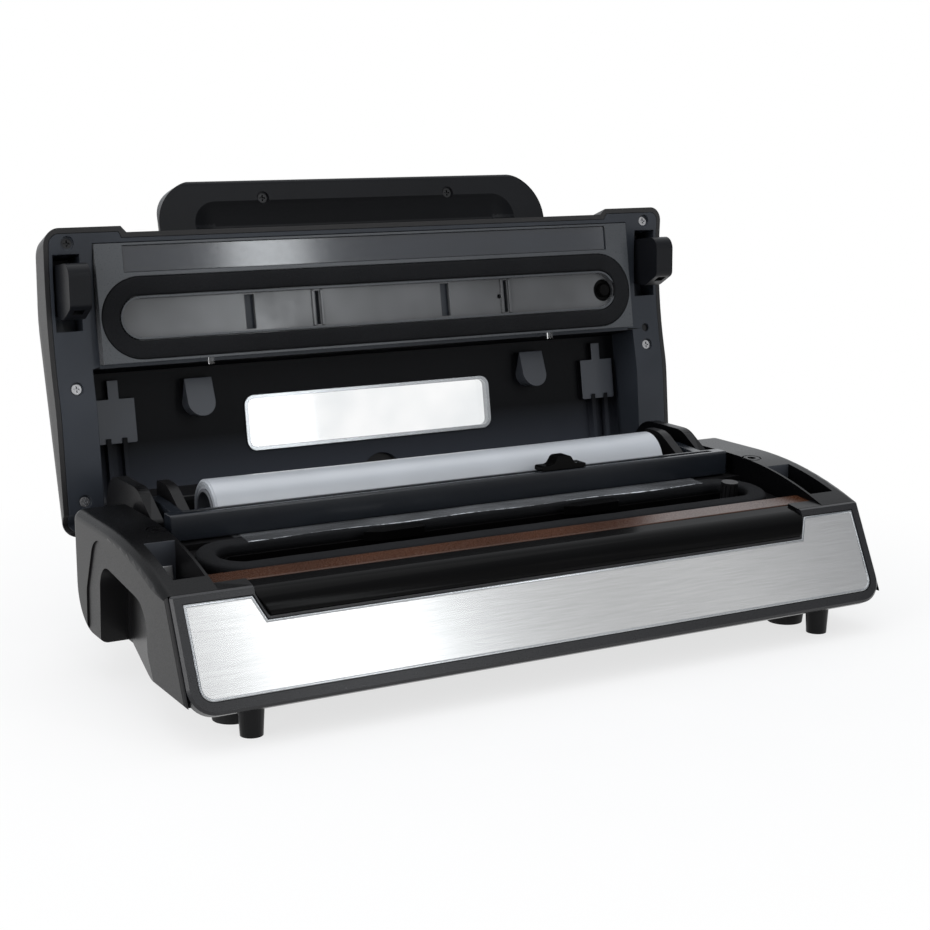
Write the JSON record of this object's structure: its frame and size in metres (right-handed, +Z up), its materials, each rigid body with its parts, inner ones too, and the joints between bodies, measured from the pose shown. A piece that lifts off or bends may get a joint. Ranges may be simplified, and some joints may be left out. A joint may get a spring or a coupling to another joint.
{
  "type": "vacuum sealer",
  "caption": "Countertop vacuum sealer with a hinged lid, foam gaskets, heat strip, film roll bay, sliding cutter, latch hooks, grip handle and brushed steel front.",
  "frame": {"origin": "on the surface it stands on, under the middle of the box round the part with its lid open", "axes": "+X to the right seen from the front, +Y towards the hinge at the back, +Z up"},
  "size_m": [0.4, 0.2464, 0.2369],
  "materials": {
    "housing": "satin",
    "bezel": "gloss",
    "steel_panel": "brushed",
    "apron": "gloss",
    "foot_plastic": "matte",
    "foot_rubber": "matte",
    "heater_metal": "satin",
    "ribbon": "satin",
    "heat_tape": "satin",
    "foam": "matte",
    "tray": "satin",
    "small_plastic": "satin",
    "film": "gloss",
    "core": "matte",
    "cutter": "gloss",
    "blade": "satin",
    "pin_steel": "satin",
    "pump_metal": "satin",
    "motor_metal": "satin",
    "iron_core": "matte",
    "circuit": "satin",
    "hose_rubber": "satin",
    "screw_metal": "polished",
    "lid_shell": "satin",
    "lid_inner": "satin",
    "plate": "satin",
    "seal_rubber": "gloss",
    "clear": "clear",
    "silver_trim": "satin",
    "handle": "satin",
    "control": "gloss",
    "button": "satin",
    "magnet": "satin"
  },
  "bodies": {
    "base": {"base_housing": "housing", "bottom_cover": "foot_plastic", "front_bezel": "bezel", "front_panel": "steel_panel", "front_apron": "apron", "front_feet": "foot_plastic", "rubber_feet": "foot_rubber", "heater_bar": "heater_metal", "heating_ribbon": "ribbon", "heat_tape": "heat_tape", "lower_gasket": "foam", "drip_tray": "tray", "bag_stops": "small_plastic", "vacuum_port": "small_plastic", "latch_keepers": "pin_steel", "hinge_pins": "pin_steel", "cutter_pins": "pin_steel", "vacuum_pump": "pump_metal", "pump_motor": "motor_metal", "pump_bracket": "pin_steel", "vacuum_hose": "hose_rubber", "release_valve": "small_plastic", "transformer": "iron_core", "control_board": "circuit", "lid_sensors": "small_plastic", "power_inlet": "small_plastic", "base_screws": "screw_metal", "film_end": "film"},
    "roll": {"film_roll": "film", "roll_core": "core"},
    "cutter": {"cutter_bar": "cutter"},
    "slider": {"cutter_slider": "small_plastic", "cutter_blade": "blade"},
    "lid": {"lid_cover": "lid_shell", "lid_frame": "lid_inner", "chamber_plate": "plate", "upper_gasket": "foam", "seal_pad": "seal_rubber", "chamber_valve": "small_plastic", "film_tabs": "clear", "window_pane": "clear", "window_bezel": "silver_trim", "lid_screws": "screw_metal", "lid_magnets": "magnet", "handle_upper": "handle", "handle_lower": "handle", "handle_screws": "screw_metal", "control_panel": "control", "button_board": "circuit", "indicator_lenses": "clear", "latch_spring": "pin_steel"},
    "latch": {"latch_hooks": "lid_inner", "latch_shaft": "pin_steel"},
    "vacuum_button_cap": {"vacuum_button": "button"},
    "seal_button_cap": {"seal_button": "button"},
    "stop_button_cap": {"stop_button": "button"}
  },
  "joints": [
    {"name": "lid_hinge", "type": "hinge", "parent": "base", "child": "lid", "pos_m": [0, 0.04882, 0.0705], "axis": [1, 0, 0], "range_deg": [0, 104.7]},
    {"name": "latch_turn", "type": "hinge", "parent": "lid", "child": "latch", "pos_m": [0, 0.09459, 0.18193], "axis": [-1, 0, 0], "range_deg": [0, 6], "stiffness_Nm_per_rad": 0.6, "springref_deg": -6.88},
    {"name": "cutter_lift", "type": "hinge", "parent": "base", "child": "cutter", "pos_m": [0, 0.02742, 0.075], "axis": [-1, 0, 0], "range_deg": [0, 6]},
    {"name": "cutter_slide", "type": "slide", "parent": "cutter", "child": "slider", "axis": [1, 0, 0], "range_m": [-0.2075, 0.0915]},
    {"name": "roll_spin", "type": "hinge", "parent": "base", "child": "roll", "pos_m": [0, 0.01242, 0.0765], "axis": [1, 0, 0], "continuous": true},
    {"name": "vacuum_press", "type": "slide", "parent": "lid", "child": "vacuum_button_cap", "axis": [0, -0.9995, -0.0323], "range_m": [0, 0.0009], "stiffness_N_per_m": 700, "springref_m": -0.0006},
    {"name": "seal_press", "type": "slide", "parent": "lid", "child": "seal_button_cap", "axis": [0, -0.9995, -0.0323], "range_m": [0, 0.0009], "stiffness_N_per_m": 700, "springref_m": -0.0006},
    {"name": "stop_press", "type": "slide", "parent": "lid", "child": "stop_button_cap", "axis": [0, -0.9995, -0.0323], "range_m": [0, 0.0009], "stiffness_N_per_m": 700, "springref_m": -0.0006}
  ]
}
